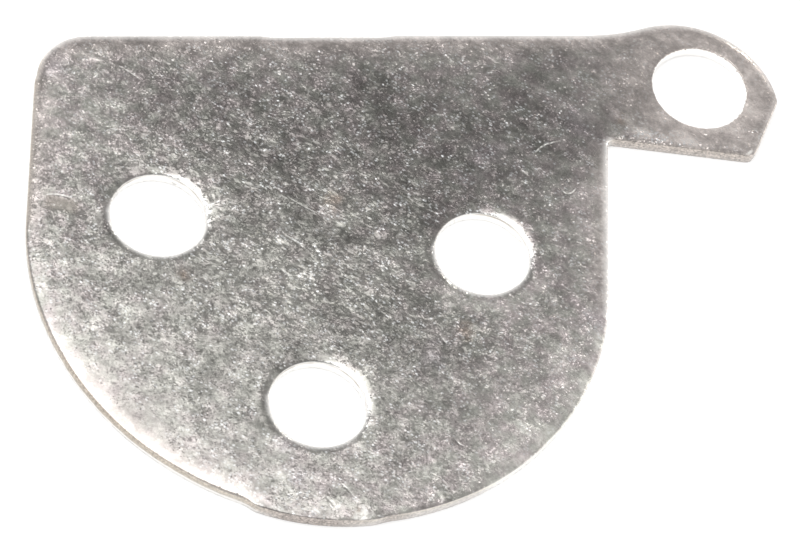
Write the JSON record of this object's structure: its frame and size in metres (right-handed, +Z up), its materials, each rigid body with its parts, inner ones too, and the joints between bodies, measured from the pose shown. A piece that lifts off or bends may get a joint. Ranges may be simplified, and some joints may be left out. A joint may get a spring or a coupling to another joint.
{
  "type": "fridge door hinge",
  "caption": "Flat plate of punched sheet steel, round at one end, with a triangle of screw holes and an arm that ends in an eye with a pivot hole.",
  "frame": {"origin": "on the underside, midway between the two level screw holes", "axes": "+X towards the arm with the pivot hole, +Y towards the slanting edge, +Z up out of the face with the rolled outer edge"},
  "size_m": [0.0524, 0.0436, 0.001],
  "materials": {
    "plated_steel": "bright plated sheet, satin with a fine sparkle"
  },
  "bodies": {
    "root": {"hinge_plate": "plated_steel"}
  },
  "joints": []
}
